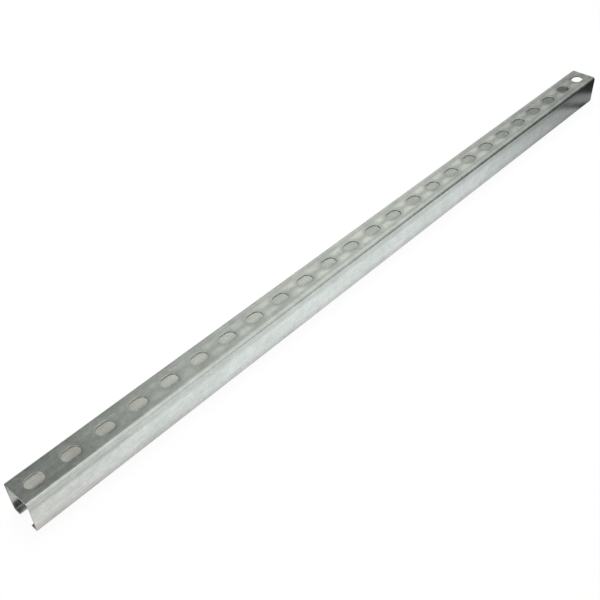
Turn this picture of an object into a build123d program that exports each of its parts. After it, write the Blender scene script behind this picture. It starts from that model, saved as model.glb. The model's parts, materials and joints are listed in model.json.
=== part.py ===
"""Slotted strut channel: a one-metre length of cold-rolled, zinc-coated steel rail.

One strip of sheet is bent four times into a C section. Its web is on top, its two flat lips turn
towards each other underneath, and the mouth between them runs the whole length. A row of oblong
slots is punched along the middle of the web from outside, which rolls their outer rims over.

Units are millimetres. X runs along the rail, Y across it and Z up. The origin is midway along the
rail, centred between its side walls, on the plane of the lips' outer faces, which it lies on.
"""

import os

from build123d import *

# Driving dimensions
length = 1000.0  # cut length of the rail
width = 38.0  # across the side walls, outside
height = 40.0  # from the lips' outer faces to the top of the web
sheet = 2.0  # thickness of the strip
mouth = 19.0  # clear gap between the tips of the lips
bend_radius = 1.5  # inside radius of all four bends
slot_pitch = 40.0  # from one slot to the next
slot_length = 20.0  # end to end
slot_width = 14.0  # across the parallel sides, and the diameter of the round ends
slot_rim = 0.4  # how far the punch rolls over the outer rim of each slot

# The row of slots keeps to whole pitches and is centred on the rail, so that with a length of
# whole pitches both ends are cut halfway between two slots.
slot_count = int(length // slot_pitch)

with BuildPart() as strut_channel:
    # The outer outline of the bent strip, from the tip of one lip round to the tip of the other,
    # thickened inwards by the sheet.
    with BuildSketch(Plane.YZ) as section:
        with BuildLine() as strip:
            outer_outline = FilletPolyline(
                (mouth / 2, 0),
                (width / 2, 0),
                (width / 2, height),
                (-width / 2, height),
                (-width / 2, 0),
                (-mouth / 2, 0),
                radius=bend_radius + sheet,
            )
            offset(outer_outline, amount=sheet, side=Side.LEFT)
        make_face()
    extrude(amount=length / 2, both=True)

    # The slots go through the web only: the cut stops at its inner face.
    with BuildSketch(Plane.XY.offset(height)) as slots:
        with GridLocations(slot_pitch, 0, slot_count, 1):
            SlotOverall(slot_length, slot_width)
    extrude(amount=-sheet, mode=Mode.SUBTRACT)

    # The web's outer face is the highest, and its inner wires are the slots' outer rims. A chamfer
    # stands for their small round, because it needs far fewer facets.
    web_face = strut_channel.faces().sort_by(Axis.Z)[-1]
    chamfer(web_face.inner_wires().edges(), length=slot_rim)

strut_channel.part.label = "strut_channel"

os.makedirs("parts", exist_ok=True)
export_step(strut_channel.part, "parts/strut_channel.step")
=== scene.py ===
# %% [markdown]
# # A slotted strut channel
#
# The object is one length of cold-rolled rail. A mill slits a zinc-coated steel strip, punches a row
# of oblong slots in it and bends it in a line of rollers into a C: a web with the slots, two side
# walls, and two flat lips that turn towards each other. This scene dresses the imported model: it
# repeats the rail as a finer mesh with the marks of punching and rolling, gives it its zinc finish,
# and lights it as a small studio would.

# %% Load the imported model
import json
import math

import bmesh
import bpy
from mathutils import Matrix, Vector, noise


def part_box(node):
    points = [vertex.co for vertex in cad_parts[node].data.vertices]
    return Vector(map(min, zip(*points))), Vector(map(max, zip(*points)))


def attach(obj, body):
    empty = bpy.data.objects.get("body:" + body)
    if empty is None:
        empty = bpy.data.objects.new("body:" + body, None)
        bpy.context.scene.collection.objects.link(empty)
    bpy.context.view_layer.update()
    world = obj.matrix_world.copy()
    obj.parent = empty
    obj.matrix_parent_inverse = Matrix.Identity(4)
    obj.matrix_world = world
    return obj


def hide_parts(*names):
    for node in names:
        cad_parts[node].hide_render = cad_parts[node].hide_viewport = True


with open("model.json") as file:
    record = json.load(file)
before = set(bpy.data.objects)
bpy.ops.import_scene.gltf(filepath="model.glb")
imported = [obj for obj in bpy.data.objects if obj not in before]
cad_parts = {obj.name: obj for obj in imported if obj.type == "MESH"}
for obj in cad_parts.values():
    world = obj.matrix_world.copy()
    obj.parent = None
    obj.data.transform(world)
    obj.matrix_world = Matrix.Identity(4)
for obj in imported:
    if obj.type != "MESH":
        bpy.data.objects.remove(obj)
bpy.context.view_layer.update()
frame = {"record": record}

# %% [markdown]
# ## Sizes
#
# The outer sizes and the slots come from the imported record, so the mesh always fits the model that
# other people use. Only what a record doesn't hold is written here: the strip's thickness, the bend
# radius and the gap between the lips. Blender works in metres, so millimetres are multiplied once.

# %% Sizes of the section and the slots
MM = 0.001

low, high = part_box("strut_channel")
length = high[0] - low[0]
width = high[1] - low[1]
height = high[2]

slot_mounts = [m for m in frame["record"]["mounts"] if m["kind"] == "bolt_pattern"]
slot_dims = slot_mounts[0]["dims"]
pitch = slot_dims["spacing_x_mm"] * MM
slot_length = slot_dims["slot_length_mm"] * MM
slot_radius = slot_dims["hole_r_mm"] * MM
slot_count = int(length / pitch + 0.5)

sheet = 2.0 * MM
mouth = 19.0 * MM
outer_bend = 3.5 * MM
weld = 0.01 * MM  # points closer than this are one point
print(f"{slot_count} slots, one every {pitch / MM:.0f} mm, in a rail {length / MM:.0f} mm long")

# %% [markdown]
# ## Camera
#
# The camera looks down along the rail from beside its near end, so that the slotted web, one side
# wall and the open end all show. It is given by a spot, a point that it aims at, a lens and a small
# turn about the line of sight.

# %% Camera
camera_spot = Vector((-0.6528, -0.5084, 0.6693))
camera_aim = Vector((-0.1324, -0.0029, 0.0200))
camera_roll = math.radians(-2.565)

camera_data = bpy.data.cameras.new("camera")
camera_data.lens = 52.18
camera = bpy.data.objects.new("camera", camera_data)
look = (camera_aim - camera_spot).to_track_quat("-Z", "Y").to_matrix().to_4x4()
camera.matrix_world = Matrix.Translation(camera_spot) @ look @ Matrix.Rotation(camera_roll, 4, "Z")
bpy.context.scene.collection.objects.link(camera)
bpy.context.scene.camera = camera
print("camera is", round((camera_aim - camera_spot).length, 3), "m from its aim")

# %% [markdown]
# ## One pitch of the bent strip
#
# The rail repeats itself every pitch, so only one pitch is modelled and then copied. It starts as a
# line: the outside of half the section, drawn from the middle of the web round to the tip of a lip.
# Straight stretches are short edges laid end to end, and each bend is one vertex spun through a
# quarter turn. A mirror gives the other half. Drawing the outside only is easier than drawing a
# closed section, because the thickness can be given to the whole sheet at the end.

# %% Draw the outside of the section
HALF_TURN = math.pi
QUARTER_TURN = HALF_TURN / 2
bend_steps = 6


def run(bm, start, target, edges):
    """Lay a straight row of edges from a vertex to a point, and return the last vertex."""
    origin, target = start.co.copy(), Vector(target)
    for step in range(1, edges + 1):
        start = bmesh.ops.extrude_vert_indiv(bm, verts=[start])["verts"][0]
        start.co = origin.lerp(target, step / edges)
    return start


def turn(bm, start, centre, axis, angle, steps):
    """Spin a vertex about a point, leaving edges behind it, and return the last vertex."""
    made = bmesh.ops.spin(bm, geom=[start], cent=centre, axis=axis, angle=angle, steps=steps)
    return next(e for e in made["geom_last"] if isinstance(e, bmesh.types.BMVert))


slot_zone_x = 12.0 * MM  # half the patch of web that is opened to set a slot in
slot_zone_y = 9.0 * MM
flat_y = width / 2 - outer_bend
steps_per_pitch = 20
patch_edges, beside_edges, wall_edges, lip_edges = 6, 4, 8, 3  # along each straight stretch
x_near = -pitch / 2

strip = bmesh.new()
point = strip.verts.new((x_near, 0, height))
point = run(strip, point, (x_near, slot_zone_y, height), patch_edges)
point = run(strip, point, (x_near, flat_y, height), beside_edges)
point = turn(strip, point, (x_near, flat_y, height - outer_bend), (1, 0, 0), -QUARTER_TURN, bend_steps)
point = run(strip, point, (x_near, width / 2, outer_bend), wall_edges)
point = turn(strip, point, (x_near, flat_y, outer_bend), (1, 0, 0), -QUARTER_TURN, bend_steps)
point = run(strip, point, (x_near, mouth / 2, 0), lip_edges)
bmesh.ops.mirror(strip, geom=strip.verts[:] + strip.edges[:], matrix=Matrix(),
                 merge_dist=weld, axis="Y")
print("the section's line has", len(strip.verts), "points")

# %% Pull the line along by one pitch and cut it into even steps
pulled = bmesh.ops.extrude_edge_only(strip, edges=strip.edges[:])["geom"]
moved = [e for e in pulled if isinstance(e, bmesh.types.BMVert)]
bmesh.ops.translate(strip, verts=moved, vec=(pitch, 0, 0))
lengthwise = [e for e in strip.edges if abs(e.verts[0].co.x - e.verts[1].co.x) > pitch / 2]
bmesh.ops.subdivide_edges(strip, edges=lengthwise, cuts=steps_per_pitch - 1, use_grid_fill=True)
bmesh.ops.recalc_face_normals(strip, faces=strip.faces[:])
print("one pitch of plain strip has", len(strip.faces), "faces")

# %% [markdown]
# ## The punched slot
#
# A slot is an oblong hole with round ends. A boolean would cut it, but it leaves thin faces that
# shade badly once the sheet is dished. Here a patch of the web is taken out, the slot's outline is
# drawn in the gap with as many edges as the patch's border, and the two loops are bridged, so each
# face round the slot is a neat quad.

# %% Open the web and set the slot in
round_steps = 18
straight_steps = 6
ring_count = 4  # rings of faces between the slot and its patch, so that the rim can be dished
slot_centre_x = slot_length / 2 - slot_radius


def inside_patch(point):
    """True on the part of the web that the slot's patch covers."""
    near = 0.1 * MM
    return (
        abs(point.x) < slot_zone_x + near
        and abs(point.y) < slot_zone_y + near
        and abs(point.z - height) < near
    )


patch = [f for f in strip.faces if inside_patch(f.calc_center_median())]
bmesh.ops.delete(strip, geom=patch, context="FACES")
border = [e for e in strip.edges if e.is_boundary and all(inside_patch(v.co) for v in e.verts)]

drawn_at = height - sheet  # two loops round one centre confuse the bridge, so this one is drawn lower
first = strip.verts.new((slot_centre_x, -slot_radius, drawn_at))
point = turn(strip, first, (slot_centre_x, 0, drawn_at), (0, 0, 1), HALF_TURN, round_steps)
point = run(strip, point, (-slot_centre_x, slot_radius, drawn_at), straight_steps)
point = turn(strip, point, (-slot_centre_x, 0, drawn_at), (0, 0, 1), HALF_TURN, round_steps)
point = run(strip, point, (slot_centre_x, -slot_radius, drawn_at), straight_steps)
bmesh.ops.remove_doubles(strip, verts=[first, point], dist=weld)
outline = [e for e in strip.edges if not e.link_faces]
spokes = [
    e for e in bmesh.ops.bridge_loops(strip, edges=border + outline)["edges"]
    if e not in border and e not in outline
]
outline_verts = list({v for e in outline for v in e.verts})
bmesh.ops.translate(strip, verts=outline_verts, vec=(0, 0, height - drawn_at))
bmesh.ops.subdivide_edges(strip, edges=spokes, cuts=ring_count - 1, use_grid_fill=True)
print(len(border), "edges round the patch,", len(outline), "round the slot")

# %% [markdown]
# ## The whole length
#
# The finished pitch is copied along the rail and the copies are welded where they meet.

# %% Copy the pitch along the rail
unit = strip.verts[:] + strip.edges[:] + strip.faces[:]
bmesh.ops.translate(strip, verts=strip.verts[:], vec=(low[0] + pitch / 2, 0, 0))
for number in range(1, slot_count):
    copy = bmesh.ops.duplicate(strip, geom=unit)["geom"]
    verts = [e for e in copy if isinstance(e, bmesh.types.BMVert)]
    bmesh.ops.translate(strip, verts=verts, vec=(number * pitch, 0, 0))
bmesh.ops.remove_doubles(strip, verts=strip.verts[:], dist=weld)
bmesh.ops.recalc_face_normals(strip, faces=strip.faces[:])
print("the sheet has", len(strip.faces), "faces")

# %% [markdown]
# ## What punching and rolling leave behind
#
# Real sheet is never quite flat. The punch pulls the rim of each slot down, its long sides more than
# its round ends, the web between the two bends sinks by a tenth of a millimetre, and the rollers leave
# long shallow waves in it and in the side walls. A bright metal shows such waves clearly, because it
# mirrors the room. They are real changes of shape, so the vertices are moved and not only the
# shading. Every move goes inwards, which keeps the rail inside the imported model's box, and dies out at
# the bends. The moves come before the thickness, so both faces of the sheet follow them.

# %% Helpers for places on the strip
SEED = Vector((3.1, 7.7, 1.9))


def from_slot(x, y):
    """Distance from a spot on the web to the edge of the nearest slot, in metres."""
    along = (x - low[0]) % pitch - pitch / 2
    beyond = max(abs(along) - slot_centre_x, 0)
    return max(math.hypot(beyond, y) - slot_radius, 0)


def fade(across, half):
    """1 in the middle of a flat stretch and 0, levelling off, at the bends on both sides."""
    return max(1 - (across / half) ** 2, 0) ** 2


def wave(x, across, side, length_mm, breadth_mm):
    """A smooth value from about -1 to 1 that changes slowly along the rail and faster across it."""
    return noise.noise(Vector((x / (length_mm * MM), across / (breadth_mm * MM), side)) + SEED)


# %% Dish the web and wave the side walls
draw_in = 0.30 * MM  # how far the long edges of a slot are pulled down
draw_reach = 2.6 * MM
end_draw = 0.35  # the round ends are pulled down by this share of it


def drawn(x, y):
    """How far the punch has pulled the web down at a spot near a slot."""
    along = abs((x - low[0]) % pitch - pitch / 2)
    towards_end = min(max(along - slot_centre_x, 0) / slot_radius, 1)
    share = 1 + (end_draw - 1) * towards_end
    return share * draw_in * math.exp(-from_slot(x, y) / draw_reach)


web_dish = 0.10 * MM
web_wave = 0.07 * MM
wall_wave = 0.08 * MM
web_wave_size = (30, 9)  # millimetres along the rail and across it
wall_wave_size = (80, 25)

wall_middle = height / 2
wall_half = height / 2 - outer_bend
deepest = 0
for vert in strip.verts:
    x, y, z = vert.co
    if abs(z - height) < weld:
        depth = web_dish + web_wave * wave(x, y, 0, *web_wave_size)
        depth += drawn(x, y)
        vert.co.z -= depth * fade(y, flat_y)
        deepest = max(deepest, height - vert.co.z)
    elif abs(abs(y) - width / 2) < weld:
        side = math.copysign(1, y)
        depth = wall_wave * (1 + wave(x, z, side, *wall_wave_size)) / 2
        vert.co.y -= side * depth * fade(z - wall_middle, wall_half)
print(f"the rim of a slot is at most {deepest / MM:.2f} mm below the bends")

# %% [markdown]
# ## Thickness and edges
#
# Solidify grows the sheet inwards. The faces that it makes along the borders are the cut metal: the
# inside of each slot, the two sawn ends and the tips of the lips. They are the only faces with two
# sharp edges, so they are found that way and given the second material. Then the sharp edges are
# eased: the punch rolls the outer rim of each slot over by a few tenths of a millimetre, and the
# shear leaves a much finer edge everywhere else.

# %% Give the sheet its thickness and find the cut faces
sharp_angle = math.radians(60)  # two faces of a bend never meet at more than this


def is_sharp(edge):
    """True where two faces meet at a hard edge."""
    return len(edge.link_faces) == 2 and edge.calc_face_angle(0) > sharp_angle


bmesh.ops.solidify(strip, geom=strip.faces[:], thickness=sheet)
bmesh.ops.recalc_face_normals(strip, faces=strip.faces[:])
cut_faces = [f for f in strip.faces if sum(is_sharp(e) for e in f.edges) >= 2]
for face in cut_faces:
    face.material_index = 1
print("of", len(strip.faces), "faces,", len(cut_faces), "are cut metal")

# %% Ease the rims of the slots and the cut edges
rim_size, rim_segments = 0.28 * MM, 3
shear_size, shear_segments = 0.12 * MM, 1
web_depth = 0.8 * MM  # a slot's outer rim lies within this of the top


def is_rim(edge):
    """True on the outer rim of a slot: near the top of the web, and away from the rail's ends."""
    return all(
        v.co.z > height - web_depth and abs(v.co.y) < slot_radius + rim_size
        and abs(v.co.x) < length / 2 - rim_size
        for v in edge.verts
    )


def ease(edges, size, segments):
    """Replace edges of the strip with narrow rounded faces."""
    bmesh.ops.bevel(strip, geom=edges, offset=size, offset_type="OFFSET", segments=segments,
                    profile=0.5, affect="EDGES", clamp_overlap=True, material=-1)


ease([e for e in strip.edges if is_sharp(e) and is_rim(e)], rim_size, rim_segments)
ease([e for e in strip.edges if is_sharp(e)], shear_size, shear_segments)
bmesh.ops.recalc_face_normals(strip, faces=strip.faces[:])
upward = 0.2  # a slot's rim that faces up by more than this keeps its zinc
for face in strip.faces:
    if abs(face.normal.z) > upward and face.calc_center_median().z > sheet:
        face.material_index = 0
print("with eased edges the rail has", len(strip.faces), "faces")

# %% [markdown]
# ## Notes for the materials
#
# Two marks follow the slots, the painted sheen of the web and the rings of its relief, so the mesh
# carries a number for each vertex of the web: how far it is from the nearest slot. A material can read
# it by name, which is simpler than working the row of slots out again in nodes. Away from the web the
# number is a whole pitch, which means far. A second number says whether a vertex is on the inside of the
# rail, which has a tone of its own with painted light and shade.

# %% Write each vertex's notes, and make the rail an object
near_slot = strip.verts.layers.float.new("from_slot")
inside = strip.verts.layers.float.new("inside")
skin = 0.75 * sheet  # the outer faces, with their waves, lie within this of the section's outline
shading_angle = math.radians(46)  # faces that meet at more than this are shaded as an edge
for vert in strip.verts:
    x, y, z = vert.co
    vert[near_slot] = from_slot(x, y) if z > height - 2 * sheet else pitch
    vert[inside] = float(abs(y) < width / 2 - skin and skin < z < height - skin)
for face in strip.faces:
    face.smooth = True
mesh = bpy.data.meshes.new("punched_rail")
strip.to_mesh(mesh)
strip.free()
mesh.set_sharp_from_angle(angle=shading_angle)
rail = bpy.data.objects.new("punched_rail", mesh)
bpy.context.scene.collection.objects.link(rail)
weighted = rail.modifiers.new("even shading", "WEIGHTED_NORMAL")
weighted.keep_sharp = True
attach(rail, "root")
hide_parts("strut_channel")
print("the rail has", sum(len(p.vertices) - 2 for p in mesh.polygons), "triangles")

# %% [markdown]
# ## Building materials in nodes
#
# Colours are written as the hex values that a painter or a web page uses, and turned to linear light
# by one function. A second small function adds a node, sets it and links it, so that each material
# below reads as a list of what the surface has.

# %% Helpers for materials
def linear(code):
    """Turn an sRGB hex colour into the linear RGBA that shader sockets expect."""
    parts = [int(code[i:i + 2], 16) / 255 for i in (1, 3, 5)]
    return [c / 12.92 if c <= 0.04045 else ((c + 0.055) / 1.055) ** 2.4 for c in parts] + [1.0]


def add(tree, kind, inputs=None, **settings):
    """Add a node, set its properties, and fill or link its inputs."""
    node = tree.nodes.new(kind)
    for name, value in settings.items():
        setattr(node, name, value)
    for name, value in (inputs or {}).items():
        if isinstance(value, bpy.types.NodeSocket):
            tree.links.new(value, node.inputs[name])
        else:
            node.inputs[name].default_value = value
    return node


def empty_tree(owner):
    """Switch an owner to nodes and clear its tree."""
    owner.use_nodes = True
    owner.node_tree.nodes.clear()
    return owner.node_tree


# %% [markdown]
# ## Zinc coating
#
# The strip is coated in a bath of molten zinc before it is slit and rolled. The zinc sets as small
# flat crystals, called spangle, so the metal is a soft grey with a faint green cast and never quite
# even. Fine lines run along it, as rollers draw them. Darker strips along the walls are painted shade,
# and paler strips along the web are painted sheen. All of it is one metal shader: noise and cells
# change its colour and its roughness a little, and a bump gives the crystals and the lines their relief.

# %% Zinc: crystals, clouds and roller lines
zinc = bpy.data.materials.new("pre_galvanised_zinc_coating")
tree = empty_tree(zinc)
spot = add(tree, "ShaderNodeTexCoord").outputs["Object"]
place = add(tree, "ShaderNodeSeparateXYZ", {"Vector": spot})

crystal_size = 3.2 * MM  # small spangle; any finer wouldn't show
crystals = add(tree, "ShaderNodeTexVoronoi",
               {"Vector": spot, "Scale": 1 / crystal_size, "Smoothness": 0.6}, feature="SMOOTH_F1")
crystal_shade = add(tree, "ShaderNodeSeparateColor", {"Color": crystals.outputs["Color"]}).outputs[0]

cloud_size = 22 * MM
clouds = add(tree, "ShaderNodeTexNoise",
             {"Vector": spot, "Scale": 1 / cloud_size, "Detail": 3.0}).outputs[0]

line_length, line_width = 70 * MM, 0.7 * MM
stretch = (1 / line_length, 1 / line_width, 1 / line_width)
line_map = add(tree, "ShaderNodeMapping", {"Vector": spot, "Scale": stretch})
lines = add(tree, "ShaderNodeTexNoise",
            {"Vector": line_map.outputs[0], "Scale": 1.0, "Detail": 2.0}).outputs[0]
print("zinc: crystals of", crystal_size / MM, "mm and roller lines of", line_width / MM, "mm")

# %% Zinc: one tone from the three patterns
tone = 0.0
for pattern, share in ((clouds, 0.45), (lines, 0.43), (crystal_shade, 0.12)):
    tone = add(tree, "ShaderNodeMath", {0: pattern, 1: share, 2: tone},
               operation="MULTIPLY_ADD").outputs[0]
tone_low, tone_high = 0.36, 0.64  # the mixed patterns hardly leave this range
bright = add(tree, "ShaderNodeMapRange",
             {"Value": tone, "From Min": tone_low, "From Max": tone_high}).outputs[0]
colour = add(tree, "ShaderNodeMix", {"Factor": bright, "A": linear("#C2CAC6"), "B": linear("#DDE4E0")},
             data_type="RGBA").outputs["Result"]
print("zinc: a tone between", tone_low, "and", tone_high)

# %% Zinc: painted shade in strips along the walls
# Each list holds heights in millimetres and the tint painted there. All of them are painted shade: a
# pinkish foot as a painted reflection of the table's shadow, and darker bands and a dark line below the
# top bend.
wall_painted_shade = [
    (0, "#ECE7E9"),
    (4, "#F1ECEE"),
    (8, "#F7F3F5"),
    (11.5, "#FFFFFF"),
    (15, "#FFFFFF"),
    (18, "#FCFCFC"),
    (27, "#FCFCFC"),
    (31, "#E8E8E8"),
    (35.5, "#E5E5E5"),
    (36.6, "#DFDFDF"),
    (38.2, "#DFDFDF"),
    (39.0, "#FFFFFF"),
    (39.4, "#F9F9F9"),
]
wall_painted_stripe = [(29, "#FFFFFF"), (31.5, "#EFEFEF"), (33, "#EFEFEF"), (35.5, "#FFFFFF")]
wall_painted_top = [(35.4, "#FFFFFF"), (37, "#F2F2F2"), (38.5, "#F2F2F2"), (39.2, "#FFFFFF")]
rise = add(tree, "ShaderNodeMapRange", {"Value": place.outputs["Z"], "From Max": height}).outputs[0]
shades = []
for tints in (wall_painted_shade, wall_painted_stripe, wall_painted_top):
    ramp = add(tree, "ShaderNodeValToRGB", {"Fac": rise})
    stops = ramp.color_ramp.elements
    for number, (place_mm, tint) in enumerate(tints):
        stop = stops[number] if number < 2 else stops.new(1.0)
        stop.position = place_mm * MM / height
        stop.color = linear(tint)
    shades.append(ramp.outputs["Color"])

# The stripe of painted shade shows only near the low-X end, and the painted shade of the darker top only
# further on.
wall_shade, stripe_shade, top_shade = shades
# both strips are painted shade, faded in along the rail
for shade, unshaded_x, full_shade_x in ((stripe_shade, -0.35, -0.39), (top_shade, -0.30, -0.16)):
    shade_share = add(tree, "ShaderNodeMapRange",
                 {"Value": place.outputs["X"], "From Min": unshaded_x, "From Max": full_shade_x}).outputs[0]
    shade = add(tree, "ShaderNodeMix", {"Factor": shade_share, "A": linear("#FFFFFF"), "B": shade},
                data_type="RGBA").outputs["Result"]
    wall_shade = add(tree, "ShaderNodeMix", {"Factor": 1.0, "A": wall_shade, "B": shade},
                     data_type="RGBA", blend_type="MULTIPLY").outputs["Result"]
print("zinc: the walls have", len(wall_painted_shade), "tints, and", len(shades) - 1, "strips that end partway")

# %% Zinc: painted sheen in strips along the web
web_sheen = [
    # distance from the middle of the web in millimetres, how much painted sheen it has
    (0, 0.00),
    (2.5, 0.35),
    (5, 0.90),
    (8, 1.00),
    (9.5, 0.60),
    (11.5, 0.15),
    (13, 0.15),
    (14.5, 0.50),
    (16, 0.50),
    (17.3, 0.15),
]
aside = add(tree, "ShaderNodeMath", {0: place.outputs["Y"]}, operation="ABSOLUTE").outputs[0]
aside = add(tree, "ShaderNodeMapRange", {"Value": aside, "From Max": width / 2}).outputs[0]
ramp = add(tree, "ShaderNodeValToRGB", {"Fac": aside})
stops = ramp.color_ramp.elements
for number, (place_mm, shine) in enumerate(web_sheen):
    stop = stops[number] if number < 2 else stops.new(1.0)
    stop.position = place_mm * MM / (width / 2)
    stop.color = (shine, shine, shine, 1)

# The painted sheen keeps clear of the slots, grows towards the high-X end and follows the tone in
# streaks.
sheen_clear, sheen_full = 1.5 * MM, 7 * MM  # from a slot's edge
sheen_from_x, sheen_to_x, sheen_least = -0.46, -0.06, 0.17
streak_low, streak_high, streak_swing = 0.40, 0.60, 0.4
slot_gap = add(tree, "ShaderNodeAttribute", attribute_name="from_slot").outputs["Fac"]
clear = add(tree, "ShaderNodeMapRange",
            {"Value": slot_gap, "From Min": sheen_clear, "From Max": sheen_full}).outputs[0]
on_web = add(tree, "ShaderNodeMath", {0: slot_gap, 1: pitch / 2}, operation="LESS_THAN").outputs[0]
growth = add(tree, "ShaderNodeMapRange", {"Value": place.outputs["X"], "From Min": sheen_from_x,
                                          "From Max": sheen_to_x, "To Min": sheen_least}).outputs[0]
streak = add(tree, "ShaderNodeMapRange",
             {"Value": tone, "From Min": streak_low, "From Max": streak_high,
              "To Min": 1 - streak_swing, "To Max": 1 + streak_swing}).outputs[0]
sheen = ramp.outputs["Color"]
for factor in (clear, on_web, growth, streak):
    sheen = add(tree, "ShaderNodeMath", {0: sheen, 1: factor},
                 operation="MULTIPLY", use_clamp=True).outputs[0]
shaded = add(tree, "ShaderNodeMix", {"Factor": 1.0, "A": colour, "B": wall_shade},
             data_type="RGBA", blend_type="MULTIPLY").outputs["Result"]
# painted sheen: the web turns paler where the sheen is painted
shaded = add(tree, "ShaderNodeMix", {"Factor": sheen, "A": shaded, "B": linear("#F6FBF3")},
             data_type="RGBA").outputs["Result"]
print("zinc: the web's polish has", len(web_sheen), "stops from its middle to its bend")

# %% Zinc: the inside
# It is a little warmer, paler at its foot as painted light, and grey in its bottom corners at both ends
# as painted shade.
foot_top, foot_full, foot_share = 14 * MM, 11 * MM, 0.40
grey_from_x, grey_full_x = length / 2 - 14 * MM, length / 2 - 10 * MM
grey_top, grey_full_z = 16 * MM, 13 * MM
within = add(tree, "ShaderNodeAttribute", attribute_name="inside").outputs["Fac"]
bare = add(tree, "ShaderNodeMix", {"Factor": bright, "A": linear("#C8CCC3"), "B": linear("#DFE3D9")},
           data_type="RGBA").outputs["Result"]
# the paler foot is painted light
foot = add(tree, "ShaderNodeMapRange", {"Value": place.outputs["Z"], "From Min": foot_top,
                                        "From Max": foot_full, "To Max": foot_share}).outputs[0]
bare = add(tree, "ShaderNodeMix", {"Factor": foot, "A": bare, "B": linear("#F6F8F2")},
           data_type="RGBA").outputs["Result"]
shaded = add(tree, "ShaderNodeMix", {"Factor": within, "A": shaded, "B": bare},
             data_type="RGBA").outputs["Result"]
# the grey corners are painted shade in the inside's bottom corners
from_middle = add(tree, "ShaderNodeMath", {0: place.outputs["X"]}, operation="ABSOLUTE").outputs[0]
grey = within
for value, unshaded_at, full_shade_at in ((from_middle, grey_from_x, grey_full_x),
                              (place.outputs["Z"], grey_top, grey_full_z)):
    here = add(tree, "ShaderNodeMapRange",
               {"Value": value, "From Min": unshaded_at, "From Max": full_shade_at}).outputs[0]
    grey = add(tree, "ShaderNodeMath", {0: grey, 1: here}, operation="MULTIPLY").outputs[0]
shaded = add(tree, "ShaderNodeMix", {"Factor": grey, "A": shaded, "B": linear("#BFC2C4")},
             data_type="RGBA").outputs["Result"]
print("zinc: the grey corners are", round((length / 2 - grey_from_x) / MM), "mm long")

# %% Zinc: gloss and relief
outer_smooth, outer_rough = 0.20, 0.30
inner_rough, grey_rough = 0.33, 0.20
rough = add(tree, "ShaderNodeMapRange", {"Value": tone, "From Min": tone_low, "From Max": tone_high,
                                         "To Min": outer_smooth, "To Max": outer_rough}).outputs[0]
satin = add(tree, "ShaderNodeMix", {"Factor": grey, "A": inner_rough, "B": grey_rough},
            data_type="FLOAT").outputs["Result"]
rough = add(tree, "ShaderNodeMix", {"Factor": within, "A": rough, "B": satin},
            data_type="FLOAT").outputs["Result"]

ring_width, ring_reach = 1.7 * MM, 7 * MM
ring_angle = add(tree, "ShaderNodeMath", {0: slot_gap, 1: 2 * math.pi / ring_width},
                 operation="MULTIPLY").outputs[0]
rings = add(tree, "ShaderNodeMath", {0: ring_angle}, operation="SINE").outputs[0]
ring_fade = add(tree, "ShaderNodeMapRange", {"Value": slot_gap, "From Min": 0.0, "From Max": ring_reach,
                                             "To Min": 1.0, "To Max": 0.0}).outputs[0]
rings = add(tree, "ShaderNodeMath", {0: rings, 1: ring_fade}, operation="MULTIPLY").outputs[0]
relief = None
for height_map, depth_mm in ((rings, 0.006), (lines, 0.006), (crystal_shade, 0.002)):
    below = {"Normal": relief} if relief else {}
    relief = add(tree, "ShaderNodeBump",
                 {"Height": height_map, "Distance": depth_mm * MM, **below}).outputs[0]
metal = add(tree, "ShaderNodeBsdfPrincipled", {"Base Color": shaded, "Metallic": 1.0,
                                               "Roughness": rough, "Normal": relief})
add(tree, "ShaderNodeOutputMaterial", {"Surface": metal.outputs[0]})
mesh.materials.append(zinc)
print("zinc material has", len(tree.nodes), "nodes")

# %% [markdown]
# ## Sheared steel
#
# Where a punch or a saw has gone through, the zinc is gone and the bare steel shows. It is darker and
# duller than the coating, and finely marked.

# %% Sheared steel
steel = bpy.data.materials.new("sheared_bare_steel")
tree = empty_tree(steel)
spot = add(tree, "ShaderNodeTexCoord").outputs["Object"]
mark_width = 0.4 * MM
mark_depth = 0.02 * MM
marks = add(tree, "ShaderNodeTexNoise",
            {"Vector": spot, "Scale": 1 / mark_width, "Detail": 2.0}).outputs[0]
colour = add(tree, "ShaderNodeMix", {"Factor": marks, "A": linear("#ABAFAC"), "B": linear("#CFD2CE")},
             data_type="RGBA").outputs["Result"]
bump = add(tree, "ShaderNodeBump", {"Height": marks, "Distance": mark_depth})
metal = add(tree, "ShaderNodeBsdfPrincipled", {"Base Color": colour, "Metallic": 1.0,
                                               "Roughness": 0.45, "Normal": bump.outputs[0]})
add(tree, "ShaderNodeOutputMaterial", {"Surface": metal.outputs[0]})
mesh.materials.append(steel)
print("steel: marks of", mark_width / MM, "mm")

# %% [markdown]
# ## Floor
#
# The rail lies on a white table that has no visible edge. A bright metal shows what stands round it,
# so the table matters twice: the camera sees it as a white ground with a faint shadow, and the side
# wall mirrors it. Light that comes straight to the camera, or by way of the metal, is mostly a fixed
# white glow, and the rest is paint lit by the lamp, which keeps the shadow.
#
# Only the metal sees the table as uneven, and the unevenness is painted light and shade. It is
# brightest near the middle of the rail and falls off in painted shade towards the high-X end. Just past
# that end come a painted dark band of shadow and a paler one, and then the dark room, painted onto the
# table. It has painted light under the rail, painted shade beyond the rail's low-X half, and is slightly
# warm by that end, with painted shade under the rail there.

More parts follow.
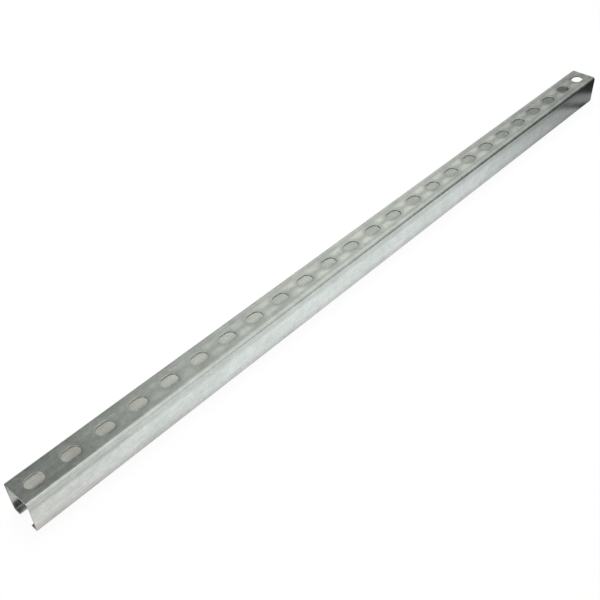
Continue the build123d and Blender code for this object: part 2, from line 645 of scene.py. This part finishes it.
# %% Floor: the painted light and shade that the metal sees on the table
bpy.ops.mesh.primitive_plane_add(size=8)
floor = bpy.context.object
floor.name = "floor"
paint = bpy.data.materials.new("white_table_with_painted_shade")
floor.data.materials.append(paint)
tree = empty_tree(paint)
spot = add(tree, "ShaderNodeTexCoord").outputs["Object"]
slant = (1.0, -1.0, 0.0)  # the painted bands run slanted to the rail
reach = add(tree, "ShaderNodeVectorMath", {0: spot, 1: slant}, operation="DOT_PRODUCT").outputs["Value"]
table_from, table_to = -0.5, 0.6
along = add(tree, "ShaderNodeMapRange",
            {"Value": reach, "From Min": table_from, "From Max": table_to}).outputs[0]
ramp = add(tree, "ShaderNodeValToRGB", {"Fac": along})
steps = [
    # metres along the table, how bright the metal sees it in painted light and shade
    (-0.420, 0.895),
    (-0.260, 0.950),
    (-0.120, 1.000),
    (-0.020, 1.000),
    (0.100, 0.875),
    (0.220, 0.855),
    (0.330, 0.670),
    (0.420, 0.505),
    (0.450, 0.440),
    (0.489, 0.410),
    (0.501, 0.100),
    (0.512, 0.100),
    (0.522, 0.270),
    (0.548, 0.270),
    (0.561, 0.030),
]
stops = ramp.color_ramp.elements
for number, (place_m, level) in enumerate(steps):
    stop = stops[number] if number < 2 else stops.new(1.0)
    stop.position = (place_m - table_from) / (table_to - table_from)
    stop.color = (level, level, level, 1)
print("the table has", len(steps), "steps of brightness")

# %% Floor: the painted shade of the corner and the painted light of the strip under the rail
corner_from_y, corner_to_y = 0.02, 0.04
corner_from_x, corner_to_x = -0.05, -0.32
corner_level = 0.14
strip_from, strip_to = 0.014, 0.010  # metres from the rail's middle line
# the brighter strip under the rail is painted light
strip_gain = 0.20
table_level = 1.15
side = add(tree, "ShaderNodeSeparateXYZ", {"Vector": spot})
beyond = add(tree, "ShaderNodeMapRange", {"Value": side.outputs["Y"], "From Min": corner_from_y,
                                          "From Max": corner_to_y}).outputs[0]
before = add(tree, "ShaderNodeMapRange", {"Value": side.outputs["X"], "From Min": corner_from_x,
                                          "From Max": corner_to_x}).outputs[0]
# the dark corner is painted shade
corner = add(tree, "ShaderNodeMath", {0: beyond, 1: before}, operation="MULTIPLY").outputs[0]
table = add(tree, "ShaderNodeMix", {"Factor": corner, "A": ramp.outputs["Color"], "B": corner_level},
            data_type="FLOAT").outputs["Result"]
aside = add(tree, "ShaderNodeMath", {0: side.outputs["Y"]}, operation="ABSOLUTE").outputs[0]
under = add(tree, "ShaderNodeMapRange",
            {"Value": aside, "From Min": strip_from, "From Max": strip_to}).outputs[0]
gain = add(tree, "ShaderNodeMath", {0: under, 1: strip_gain, 2: 1.0},
           operation="MULTIPLY_ADD").outputs[0]
for factor in (table_level, gain):
    table = add(tree, "ShaderNodeMath", {0: table, 1: factor}, operation="MULTIPLY").outputs[0]
print("the metal sees the table at", table_level, "times its steps")

# %% Floor: paint and glow
warm_from_x, warm_to_x = -0.28, -0.48
path = add(tree, "ShaderNodeLightPath")
mirrored = add(tree, "ShaderNodeMath",
               {0: path.outputs["Is Glossy Ray"], 1: path.outputs["Is Transmission Ray"]},
               operation="MAXIMUM").outputs[0]
seen = add(tree, "ShaderNodeMix", {"Factor": mirrored, "A": 1.0, "B": table},
           data_type="FLOAT").outputs["Result"]
white = add(tree, "ShaderNodeMix", {"Factor": seen, "A": linear("#000000"), "B": linear("#F4F4F4")},
            data_type="RGBA").outputs["Result"]
lit = add(tree, "ShaderNodeBsdfDiffuse", {"Color": white})
warm = add(tree, "ShaderNodeMapRange", {"Value": side.outputs["X"], "From Min": warm_from_x,
                                        "From Max": warm_to_x}).outputs[0]
tint = add(tree, "ShaderNodeMix", {"Factor": warm, "A": linear("#FDFDFF"), "B": linear("#FFF5F6")},
           data_type="RGBA").outputs["Result"]
# painted shade under the rail by the low-X end, in warm grey
under_warm = add(tree, "ShaderNodeMath", {0: under, 1: warm}, operation="MULTIPLY").outputs[0]
tint = add(tree, "ShaderNodeMix", {"Factor": under_warm, "A": tint, "B": linear("#E4E0E1")},
           data_type="RGBA").outputs["Result"]
tint = add(tree, "ShaderNodeMix", {"Factor": mirrored, "A": linear("#FFFFFF"), "B": tint},
           data_type="RGBA").outputs["Result"]
glow = add(tree, "ShaderNodeEmission", {"Color": tint, "Strength": seen})
camera_share, mirror_share = 0.93, 0.60
share = add(tree, "ShaderNodeMath", {0: path.outputs["Is Camera Ray"], 1: camera_share},
            operation="MULTIPLY").outputs[0]
share = add(tree, "ShaderNodeMath", {0: mirrored, 1: mirror_share, 2: share},
            operation="MULTIPLY_ADD").outputs[0]
mixed = add(tree, "ShaderNodeMixShader", {0: share, 1: lit.outputs[0], 2: glow.outputs[0]})
add(tree, "ShaderNodeOutputMaterial", {"Surface": mixed.outputs[0]})
print("table paint has", len(tree.nodes), "nodes")

# %% [markdown]
# ## World
#
# The room is plain grey with soft patches of more or less light, as from pale walls, a ceiling and a
# dark doorway. Each patch is a direction, a half angle and a strength, and fades to nothing at its
# rim. The camera itself sees plain white.

# %% World
world = bpy.data.worlds.new("studio")
bpy.context.scene.world = world
tree = empty_tree(world)
room = add(tree, "ShaderNodeTexCoord").outputs["Generated"]
room_level = 0.61
patches = [
    # azimuth, elevation and half angle in degrees, strength
    (0, 86, 25, 0.49),
    (-46, 56, 35, 0.27),
    (22, 48, 20, 0.26),
    (-62, 27, 16, 0.42),
    (-9, 5, 54, -0.66),
    (92, 46, 31, -0.39),
    (78, 26, 26, -0.20),
    (-84, 12, 26, 0.50),
    (0, 24, 19, 0.34),
]
level = room_level
for azimuth, elevation, half_angle, strength in patches:
    a, e = math.radians(azimuth), math.radians(elevation)
    towards = (math.cos(a) * math.cos(e), math.sin(a) * math.cos(e), math.sin(e))
    facing = add(tree, "ShaderNodeVectorMath", {0: room, 1: towards}, operation="DOT_PRODUCT")
    rim = math.cos(math.radians(half_angle))
    change = add(tree, "ShaderNodeMapRange", {"Value": facing.outputs["Value"], "From Min": rim,
                                              "From Max": 1.0, "To Max": strength},
                 interpolation_type="SMOOTHSTEP").outputs[0]
    level = add(tree, "ShaderNodeMath", {0: level, 1: change}, operation="ADD").outputs[0]
studio = add(tree, "ShaderNodeBackground", {"Color": linear("#FFFEFA"), "Strength": level})
plain = add(tree, "ShaderNodeBackground", {"Color": (1, 1, 1, 1), "Strength": 1.0})
path = add(tree, "ShaderNodeLightPath")
shown = add(tree, "ShaderNodeMixShader", {0: path.outputs["Is Camera Ray"], 1: studio.outputs[0],
                                          2: plain.outputs[0]})
add(tree, "ShaderNodeOutputWorld", {"Surface": shown.outputs[0]})
print("the room has", len(patches), "patches of light and shade")

# %% [markdown]
# ## Lamp
#
# One wide soft lamp hangs above the far side of the rail. Its shadow falls on the camera's side, thin
# and soft, which sets the rail down on the table. The metal mirrors the room instead of the lamp.

# %% Lamp
lamp_data = bpy.data.lights.new("overhead", "AREA")
lamp_data.shape = "SQUARE"
lamp_data.size = 1.0
lamp_data.energy = 20
lamp = bpy.data.objects.new("overhead", lamp_data)
lamp.location = (0, 0.45, 1.6)
lamp.visible_glossy = False
bpy.context.scene.collection.objects.link(lamp)
print("one lamp of", lamp_data.energy, "watts hangs", round(lamp.location.z, 1), "m above the table")

# %% Finish
bpy.context.scene.view_settings.view_transform = "Standard"
